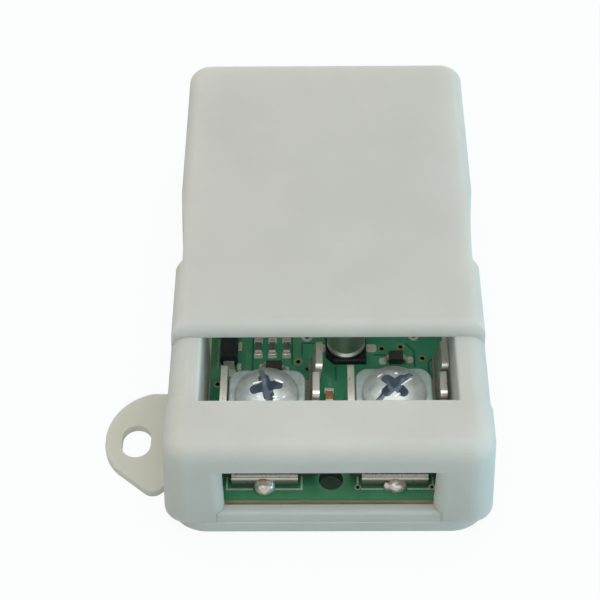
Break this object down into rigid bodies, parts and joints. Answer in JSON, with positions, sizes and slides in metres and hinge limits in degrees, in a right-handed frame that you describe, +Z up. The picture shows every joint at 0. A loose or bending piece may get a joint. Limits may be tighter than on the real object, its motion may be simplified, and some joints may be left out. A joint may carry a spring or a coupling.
{
  "type": "fire alarm relay module",
  "caption": "Small snap-together alarm relay module with windows over wire-clamp screw terminals, a stepped matte cover, a side fixing ear and a circuit board with a relay.",
  "frame": {"origin": "centre of the housing's flat rest face", "axes": "+X right, seen from the wire-entry end; +Y along the housing, away from the wire-entry end; +Z up, out of the rest face"},
  "size_m": [0.0488, 0.066, 0.019],
  "materials": {
    "cover_plastic": "fine matte moulding, slightly translucent",
    "tray_plastic": "fine matte moulding, slightly translucent",
    "board": "green solder mask",
    "tinned_sheet": "tinned sheet metal",
    "zinc_plate": "zinc plating",
    "screw_zinc": "bright zinc plating",
    "solder": "bright solder",
    "black_resin": "moulded black resin",
    "can_aluminium": "drawn can",
    "lead_tin": "tinned lead",
    "resistor_body": "glazed top",
    "ceramic_tan": "fired ceramic",
    "relay_resin": "smooth moulding",
    "relay_iron": "nickel-plated iron",
    "bobbin_resin": "moulded resin",
    "coil_copper": "enamelled copper wire",
    "contact_brass": "stamped brass"
  },
  "bodies": {
    "housing": {"base_tray": "tray_plastic", "circuit_board": "board", "left_terminal_bracket": "tinned_sheet", "right_terminal_bracket": "tinned_sheet", "terminal_solder": "solder", "capacitor_base": "black_resin", "capacitor_can": "can_aluminium", "surge_diode": "black_resin", "surge_diode_leads": "lead_tin", "chip_resistors": "resistor_body", "ceramic_capacitors": "ceramic_tan", "chip_end_caps": "lead_tin", "transistor": "black_resin", "signal_diode": "black_resin", "small_part_leads": "lead_tin", "controller_chip": "black_resin", "controller_leads": "lead_tin", "crystal": "can_aluminium", "flyback_diode": "black_resin", "flyback_diode_leads": "lead_tin", "relay_base": "relay_resin", "relay_cover": "relay_resin", "relay_pins": "lead_tin", "relay_yoke": "relay_iron", "relay_bobbin": "bobbin_resin", "relay_coil": "coil_copper", "relay_fixed_contacts": "contact_brass"},
    "cover": {"top_cover": "cover_plastic"},
    "left_plate": {"left_clamp_plate": "zinc_plate"},
    "left_screw": {"left_terminal_screw": "screw_zinc"},
    "right_plate": {"right_clamp_plate": "zinc_plate"},
    "right_screw": {"right_terminal_screw": "screw_zinc"},
    "armature": {"relay_armature": "relay_iron"}
  },
  "joints": [
    {"name": "cover_lift", "type": "slide", "parent": "housing", "child": "cover", "axis": [0, 0, 1], "range_m": [0, 0.03]},
    {"name": "left_clamp_travel", "type": "slide", "parent": "housing", "child": "left_plate", "axis": [0, 0, 1], "range_m": [-0.00135, 0.0011]},
    {"name": "left_screw_turn", "type": "hinge", "parent": "left_plate", "child": "left_screw", "pos_m": [-0.00765, -0.0188, 0.009], "axis": [0, 0, 1], "range_deg": [-696, 567]},
    {"name": "right_clamp_travel", "type": "slide", "parent": "housing", "child": "right_plate", "axis": [0, 0, 1], "range_m": [-0.00165, 0.0008]},
    {"name": "right_screw_turn", "type": "hinge", "parent": "right_plate", "child": "right_screw", "pos_m": [0.00825, -0.0188, 0.0093], "axis": [0, 0, 1], "range_deg": [-850, 413]},
    {"name": "armature_swing", "type": "hinge", "parent": "housing", "child": "armature", "pos_m": [0.007, 0.0169, 0.01312], "axis": [1, 0, 0], "range_deg": [0, 3.6], "stiffness_Nm_per_rad": 0.0005, "springref_deg": -11.46}
  ],
  "couplings": [
    {"joint": "left_screw_turn", "follows": "left_clamp_travel", "rad_per_m": 8976},
    {"joint": "right_screw_turn", "follows": "right_clamp_travel", "rad_per_m": 8976}
  ]
}
